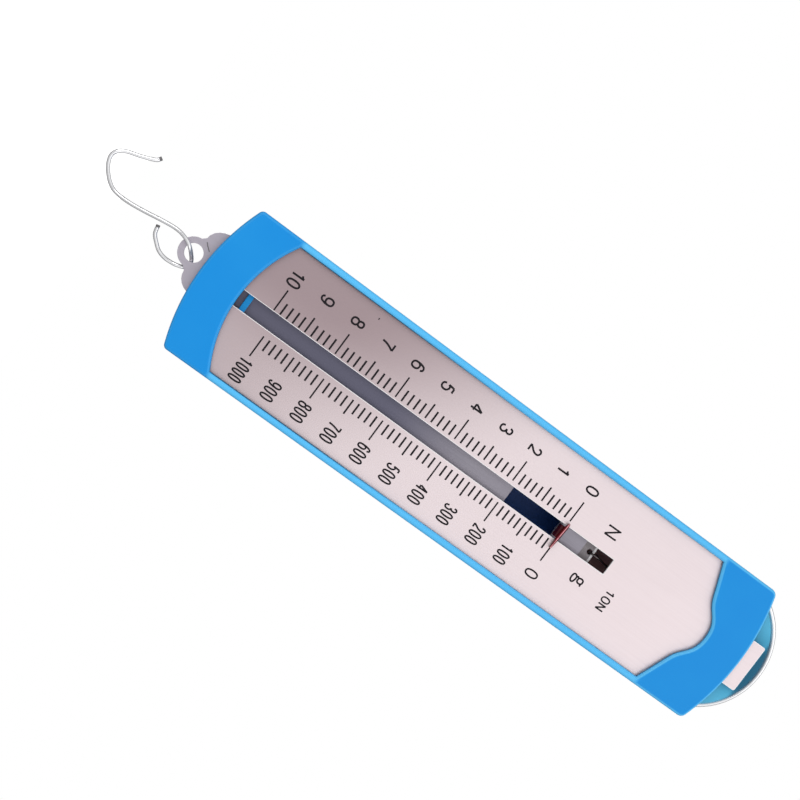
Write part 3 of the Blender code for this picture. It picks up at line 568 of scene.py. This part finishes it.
def dress_nodes():
    """Give each CAD node that stays in view its material and its softened edges."""
    screws = screw_steel()
    looks = {
        "front_bezel": (case_blue(), 0.12 * MM),
        "rear_shell": (SHELL, 0.12 * MM),
        "guide_bridge": (guide_blue(), 0.15 * MM),
        "rear_guide_pad": (pad_white(), 0),
        "plate_foam_left": (foam_black(), 0),
        "plate_foam_right": (foam_black(), 0),
        "scale_plate": (satin_aluminium(), 0.20 * MM),
        "pull_plate": (sheet_steel(), 0.08 * MM),
        "pointer": (pointer_red(), 0.05 * MM),
        "pointer_rivet": (screws, 0.05 * MM),
        "spring_anchor": (screws, 0.06 * MM),
    }
    for name, node in frame["nodes"].items():
        if "screw" in name:
            looks[name] = (screws, 0.05 * MM)
    for name, (material, width) in looks.items():
        node = frame["nodes"][name]
        node.data.materials.clear()
        node.data.materials.append(material)
        soften(node, width)
    plate = frame["nodes"]["scale_plate"]
    plate.data.materials.append(cut_edge())
    plate.modifiers["Bevel"].material = 1


# --- pieces that replace plain CAD solids ---------------------------------------------------------

def make_hanging_loop():
    """The wire bail at its CAD place: feet, straight legs, rounded shoulders and crown."""
    low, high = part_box("hanging_loop")
    radius = (high.y - low.y) / 2
    half_width = high.x - radius
    top = high.z - radius
    foot = low.z + radius
    crown_radius, corner, bend, foot_end = 20.8 * MM, 8.0 * MM, 1.4 * MM, 16.6 * MM
    centre = top - crown_radius
    corner_x = half_width - corner
    corner_z = centre + math.sqrt((crown_radius - corner) ** 2 - corner_x ** 2)
    turn = math.degrees(math.atan2(corner_z - centre, corner_x))
    right = [(foot_end, foot)] + arc((half_width - bend, foot + bend), bend, 270, 360, 12)
    right += [(half_width, foot + (corner_z - foot) * i / 5) for i in range(1, 5)]
    right += arc((corner_x, corner_z), corner, 0, turn, 12)
    crown = arc((0, centre), crown_radius, turn, 180 - turn, 90)
    left = [(-x, z) for x, z in reversed(right)]
    path = [(x, 0, z) for x, z in right + crown[1:-1] + left]
    made = wire("hanging_loop_wire", path, radius)
    made.data.materials.append(CHROME)
    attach(made, "loop")
    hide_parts("hanging_loop")


def make_load_hook():
    """The S-shaped load hook: a small loop through the eye, a shank and an open hook."""
    # Each point is (across, down, depth), across and down in millimetres from the eye's centre
    small_loop = [(-0.4, 11.7, -1.75), (2, 11.1, -1.6), (3.8, 9.4, -1.3), (5.1, 7.7, -1.0),
                  (5.7, 5.7, -0.8), (5.7, 3.7, -0.7), (5.4, 1.8, -0.7), (4.7, 0.1, -0.7)]
    through_eye = [(3.5, -0.8, -0.72), (2.4, -0.7, -0.75), (1.55, -0.25, -1.1), (0.55, 0.5, -2.15),
                   (-0.35, 1.3, -3.15), (-1.1, 2.2, -3.6)]
    shank = [(-1.9, 3.9, -3.7), (-2.4, 5.9, -3.6), (-2.45, 8.1, -3.45), (-2, 11.7, -3.3),
             (-1.2, 16.6, -3.0), (-0.7, 20.8, -2.8), (-0.65, 23.9, -2.6)]
    big_hook = [(-1.05, 26.3, -2.4), (-2.2, 28.3, -2.3), (-4, 30.1, -2.2), (-6, 31.4, -2.2),
                (-8, 31.9, -2.2), (-9.8, 31.1, -2.2), (-11.1, 29.1, -2.2), (-12.1, 26.1, -2.2),
                (-13.1, 23.5, -2.2), (-14, 21.7, -2.2), (-15.1, 20.9, -2.2)]
    guides = [(EYE.x + across * MM, depth * MM, EYE.z - down * MM)
              for across, down, depth in small_loop + through_eye + shank + big_hook]
    made = wire("load_hook_wire", smooth_path(guides, 8), 0.55 * MM)
    made.data.materials.append(CHROME)
    made.data.materials.append(cut_wire())
    ends = [Vector(guides[0]), Vector(guides[-1])]
    for face in made.data.polygons:
        if min((face.center - end).length for end in ends) < 0.8 * MM:
            face.material_index = 1
    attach(made, "hook")
    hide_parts("load_hook")


def make_seam_lips():
    """Lips of the rear shell that close the seam from inside, along both sides."""
    middle_x, thick = 20.8 * MM, 0.36 * MM
    middle_y, depth = -0.95 * MM, 1.5 * MM
    middle_z, length = up(-42 * MM), 140 * MM
    for name, side in (("left", -1), ("right", 1)):
        shape = bmesh.new()
        bmesh.ops.create_cube(shape, size=1)
        for vert in shape.verts:
            across, deep, high = vert.co
            vert.co = (side * middle_x + across * thick, middle_y + deep * depth, middle_z + high * length)
        mesh = bpy.data.meshes.new("seam_lip_" + name)
        shape.to_mesh(mesh)
        shape.free()
        made = link("seam_lip_" + name, mesh)
        mesh.materials.append(SHELL)
        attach(made, "housing")


def make_score_mark():
    """A scored line across the pull plate's left shoulder."""
    face_y, radius, flatness = -2.7 * MM, 0.13 * MM, 0.25
    places = ((-6.8, -124.6), (-6.0, -123.8), (-5.0, -122.6))
    path = [(x * MM, 0, up(height * MM)) for x, height in places]
    made = wire("shoulder_score", path, radius, roundness=2)
    for vert in made.data.vertices:
        vert.co.y = face_y + flatness * vert.co.y
    made.data.materials.append(cut_wire())
    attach(made, "pull")


def make_spring():
    """The extension spring as a fine coil with a hook at each end."""
    low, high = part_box("spring")
    axis_y = 1.0 * MM
    wire_radius, coil_radius, turns, per_turn = 0.3 * MM, 3.75 * MM, 42, 10
    coil_top, coil_bottom = up(52.0 * MM), up(22.0 * MM)
    top_hook, low_hook = 2.8 * MM, 2.4 * MM
    top_centre, low_centre = high.z - wire_radius - top_hook, low.z + wire_radius + low_hook
    points = []
    for i in range(14):
        turn = math.radians(235 - 20 * i)
        points.append((top_hook * math.cos(turn), axis_y, top_centre + top_hook * math.sin(turn)))
    steps = round((turns + 0.25) * per_turn)
    for i in range(steps + 1):
        turn = 2 * math.pi * i / per_turn
        height = coil_top + (coil_bottom - coil_top) * i / steps
        points.append((coil_radius * math.cos(turn), axis_y + coil_radius * math.sin(turn), height))
    for i in range(14):
        turn = math.radians(-25 + 20 * i)
        points.append((0, axis_y + low_hook * math.cos(turn), low_centre - low_hook * math.sin(turn)))
    made = wire("spring_coil", smooth_path(points, 3), wire_radius, roundness=3)
    made.data.materials.append(SPRING_WIRE)
    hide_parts("spring")
    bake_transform(made)


# --- printed scale ------------------------------------------------------------------------------

SKEW = 0.0122  # the print runs slightly askew: it drifts right by this share of its way down
LETTER_GAP = 0.25 * MM
SQUARENESS = 0.85  # how far the round signs fill their corners out
SIGN_TALL = 4.3 * MM
LONG_TICK, MIDDLE_TICK, SHORT_TICK = (6.5, 0.44), (4.65, 0.50), (3.42, 0.54)  # reach and width, in mm


def print_place(x, height):
    """Where a printed point falls on the plate, as X and world Z."""
    return x - SKEW * height, up(height)


def make_ticks(name, side, near, spacing):
    """Fifty divisions on one side of the slot: long, medium and short lines."""
    shape = bmesh.new()
    for i in range(51):
        tick = LONG_TICK if i % 10 == 0 else MIDDLE_TICK if i % 5 == 0 else SHORT_TICK
        reach, width = (size * MM for size in tick)
        x, z = print_place(side * (near + reach / 2), -spacing * i)
        made = bmesh.ops.create_cube(shape, size=1)["verts"]
        bmesh.ops.scale(shape, vec=(reach, 2 * INK, width), verts=made)
        bmesh.ops.translate(shape, vec=(x, PLATE_FRONT, z), verts=made)
    mesh = bpy.data.meshes.new(name)
    shape.to_mesh(mesh)
    shape.free()
    return link(name, mesh)


def flowing(*points):
    """A smooth stroke through the given points."""
    return [(point.x, point.y) for point in smooth_path([(x, y, 0) for x, y in points], 5)]


def strokes_of(sign):
    """Centre lines of a sign's strokes, in a box one wide and one tall."""
    bowl = oval((0.5, 0.31), (0.5, 0.31), 0, 360, 28, SQUARENESS)
    back = flowing((0.93, 0.82), (0.80, 0.96), (0.53, 1.0), (0.22, 0.90), (0.04, 0.62), (0.0, 0.34))
    return {
        "0": [oval((0.5, 0.5), (0.5, 0.5), 0, 360, 36, SQUARENESS)],
        "1": [[(0.66, 0), (0.66, 1)], flowing((0.66, 0.99), (0.50, 0.86), (0.22, 0.76))],
        "2": [flowing((0.04, 0.71), (0.14, 0.91), (0.50, 1.0), (0.86, 0.90), (0.94, 0.70), (0.76, 0.45),
                      (0.36, 0.21), (0.03, 0.0)), [(0.0, 0.0), (1.0, 0.0)]],
        "3": [flowing((0.04, 0.76), (0.16, 0.94), (0.48, 1.0), (0.82, 0.92), (0.90, 0.75), (0.76, 0.58),
                      (0.40, 0.54)),
              flowing((0.40, 0.54), (0.80, 0.48), (1.0, 0.28), (0.84, 0.06), (0.46, 0.0), (0.14, 0.07),
                      (0.0, 0.26))],
        "4": [[(0.72, 1), (0, 0.32)], [(0, 0.30), (1, 0.30)], [(0.72, 1), (0.72, 0)]],
        "5": [[(0.92, 1), (0.2, 1)], [(0.2, 1), (0.06, 0.50)],
              flowing((0.06, 0.50), (0.26, 0.62), (0.56, 0.64), (0.90, 0.52), (1.0, 0.32), (0.88, 0.10),
                      (0.50, 0.0), (0.14, 0.07), (0.0, 0.25))],
        "6": [bowl, back],
        "7": [[(0, 1), (1, 1)], flowing((1, 1), (0.66, 0.66), (0.44, 0.34), (0.34, 0))],
        "8": [oval((0.5, 0.77), (0.42, 0.23), 0, 360, 24, SQUARENESS),
              oval((0.5, 0.27), (0.5, 0.27), 0, 360, 28, SQUARENESS)],
        "9": [[(1 - x, 1 - y) for x, y in stroke] for stroke in (bowl, back)],
        "N": [[(0, 0), (0, 1)], [(0, 1), (1, 0)], [(1, 0), (1, 1)]],
        "N_sign": [[(0.08, 0), (0.08, 1)], [(0.06, 1), (0.93, 0)], [(0.93, 0), (0.93, 1)],
                   [(0, 0), (0.18, 0)], [(0, 1), (0.12, 1)], [(0.83, 1), (1.0, 1)]],
        "g_sign": [oval((0.44, 0.76), (0.32, 0.22), 0, 360, 24, SQUARENESS), [(0.66, 0.92), (1.0, 0.94)],
                   flowing((0.28, 0.57), (0.12, 0.48), (0.20, 0.38), (0.60, 0.35), (0.92, 0.28), (1.0, 0.15),
                           (0.80, 0.03), (0.42, 0.0), (0.10, 0.05), (0.0, 0.16), (0.10, 0.30), (0.24, 0.36))],
    }[sign]


def word_runs(signs, x, height, tall, wide, stroke):
    """Runs for one printed word, centred at a point of the plate, inside the given height and width."""
    letter = (wide - LETTER_GAP * (len(signs) - 1)) / len(signs)
    runs = []
    for i, sign in enumerate(signs):
        left = -wide / 2 + i * (letter + LETTER_GAP) + stroke / 2
        for line in strokes_of(sign):
            run = []
            for across, high in line:
                place_x, place_z = print_place(x + left + across * (letter - stroke),
                                               height - (tall - stroke) / 2 + high * (tall - stroke))
                run.append((place_x, 0, place_z))
            runs.append((run, stroke / 2))
    return runs


def make_print(name, runs):
    """Printed strokes: fine tubes pressed nearly flat on the plate."""
    made = tubes(name, runs, roundness=1)
    thickest = max(radius for _, radius in runs)
    for vert in made.data.vertices:
        vert.co.y = PLATE_FRONT + vert.co.y * INK / thickest
    return made


def make_printed_scale():
    """Both scales, their numbers, their unit signs and a stray speck of ink."""
    newtons, grams = [], []
    gram_widths = {1: 2.5 * MM, 3: 5.75 * MM, 4: 7.1 * MM}
    for i in range(11):
        number = str(i)
        x = -14.37 * MM if i < 10 else -14.1 * MM
        wide = (0.1 + 2.4 * len(number)) * MM
        newtons += word_runs(number, x, -10 * MM * i, SIGN_TALL, wide, 0.65 * MM)
        number = str(100 * i)
        wide = gram_widths[len(number)]
        grams += word_runs(number, 14.1 * MM, (0.2 - 9.8 * i) * MM, SIGN_TALL, wide, 0.58 * MM)
    signs = word_runs(["N_sign"], -8.3 * MM, 11.8 * MM, SIGN_TALL, 3.7 * MM, 0.60 * MM)
    signs += word_runs(["g_sign"], 8.2 * MM, 11.8 * MM, 4.4 * MM, 3.0 * MM, 0.60 * MM)
    signs += word_runs("10N", 8.3 * MM, 22.05 * MM, 3.05 * MM, 6.8 * MM, 0.52 * MM)
    speck_points = ((-18.75, -76.0), (-18.45, -76.05), (-18.25, -76.0))
    speck = [print_place(x * MM, height * MM) for x, height in speck_points]
    signs.append(([(x, 0, z) for x, z in speck], 0.19 * MM))
    pieces = [make_ticks("newton_ticks", -1, 4.0 * MM, 2.0 * MM),
              make_ticks("gram_ticks", 1, 3.2 * MM, 1.96 * MM),
              make_print("newton_numbers", newtons),
              make_print("gram_numbers", grams),
              make_print("unit_signs", signs)]
    ink = printing_ink()
    for piece in pieces:
        piece.data.materials.append(ink)
        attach(piece, "plate")


# --- stage --------------------------------------------------------------------------------------

def make_camera():
    """The camera, looking down on the scale's face."""
    data = bpy.data.cameras.new("Camera")
    data.lens = CAMERA_LENS
    data.clip_start, data.clip_end = 0.01, 20
    camera = link("Camera", data)
    look = CAMERA_LOOK.normalized()
    right = (CAMERA_RIGHT - look * CAMERA_RIGHT.dot(look)).normalized()
    turned = Matrix((right, right.cross(look), -look)).transposed()
    camera.matrix_world = Matrix.Translation(CAMERA_PLACE) @ turned.to_4x4()
    bpy.context.scene.camera = camera


def make_light(name, place, aim, size, power, mirrored=True):
    """A square softbox that faces a point; bright surfaces may mirror it or not."""
    data = bpy.data.lights.new(name, "AREA")
    data.size = size
    data.energy = power
    lamp = link(name, data)
    lamp.visible_camera = False
    lamp.visible_glossy = mirrored
    lamp.location = place
    lamp.rotation_euler = (Vector(aim) - Vector(place)).to_track_quat("-Z", "Y").to_euler()


def make_world():
    """Surroundings that look white and light the object brightly from above and in front, dimly elsewhere."""
    world = bpy.data.worlds.new("Studio")
    bpy.context.scene.world = world
    world.use_nodes = True
    tree = world.node_tree
    tree.nodes.clear()
    new, connect = tree.nodes.new, tree.links.new
    split = new("ShaderNodeSeparateXYZ")
    connect(new("ShaderNodeTexCoord").outputs["Generated"], split.inputs["Vector"])
    level = new("ShaderNodeMath")
    level.operation = "MULTIPLY"
    rise_limits, ahead_limits = (-0.25, 0.45, 0.48, 1.05), (-0.55, 0.10, 1.0, 0.30)
    for target, direction, limits in zip(level.inputs, ("Z", "Y"), (rise_limits, ahead_limits)):
        graded = new("ShaderNodeMapRange")
        set_range(graded, *limits)
        connect(split.outputs[direction], graded.inputs["Value"])
        connect(graded.outputs["Result"], target)
    lit, seen, mix = new("ShaderNodeBackground"), new("ShaderNodeBackground"), new("ShaderNodeMixShader")
    connect(level.outputs["Value"], lit.inputs["Strength"])
    seen.inputs["Strength"].default_value = 1.0
    seen.inputs["Color"].default_value = (1, 1, 1, 1)
    lit.inputs["Color"].default_value = (1, 1, 1, 1)
    connect(new("ShaderNodeLightPath").outputs["Is Camera Ray"], mix.inputs["Fac"])
    connect(lit.outputs["Background"], mix.inputs[1])
    connect(seen.outputs["Background"], mix.inputs[2])
    connect(mix.outputs["Shader"], new("ShaderNodeOutputWorld").inputs["Surface"])


def make_stage():
    """Pale floor, softboxes and surroundings."""
    shape = bmesh.new()
    bmesh.ops.create_circle(shape, cap_ends=True, segments=96, radius=1.2)
    mesh = bpy.data.meshes.new("floor")
    shape.to_mesh(mesh)
    shape.free()
    floor = link("floor", mesh)
    floor.location = (0, 0, FLOOR_Z)
    floor.visible_glossy = False
    floor.visible_diffuse = False
    floor.visible_shadow = False
    mesh.materials.append(floor_white())
    middle = (0, 0, up(-30 * MM))
    make_light("key_light", (-0.42, -0.50, -0.52), middle, 0.5, 2.3)
    make_light("fill_light", (0.45, -0.55, 0.10), middle, 0.6, 0.6)
    make_light("top_light", (-0.10, -0.30, 0.45), middle, 0.5, 0.42)
    make_light("back_light", (0.25, 0.60, 0.15), middle, 0.5, 3.2, mirrored=False)
    make_world()
    bpy.context.scene.view_settings.view_transform = "Standard"


CHROME = bright_wire("chrome_wire", (0.84, 0.84, 0.86), 0.17, 0.7)
SHELL = shell_blue()
SPRING_WIRE = bright_wire("spring_wire", (0.24, 0.20, 0.205), 0.38)
make_camera()
dress_nodes()
make_hanging_loop()
make_load_hook()
make_score_mark()
make_seam_lips()
make_spring()
make_printed_scale()
make_stage()
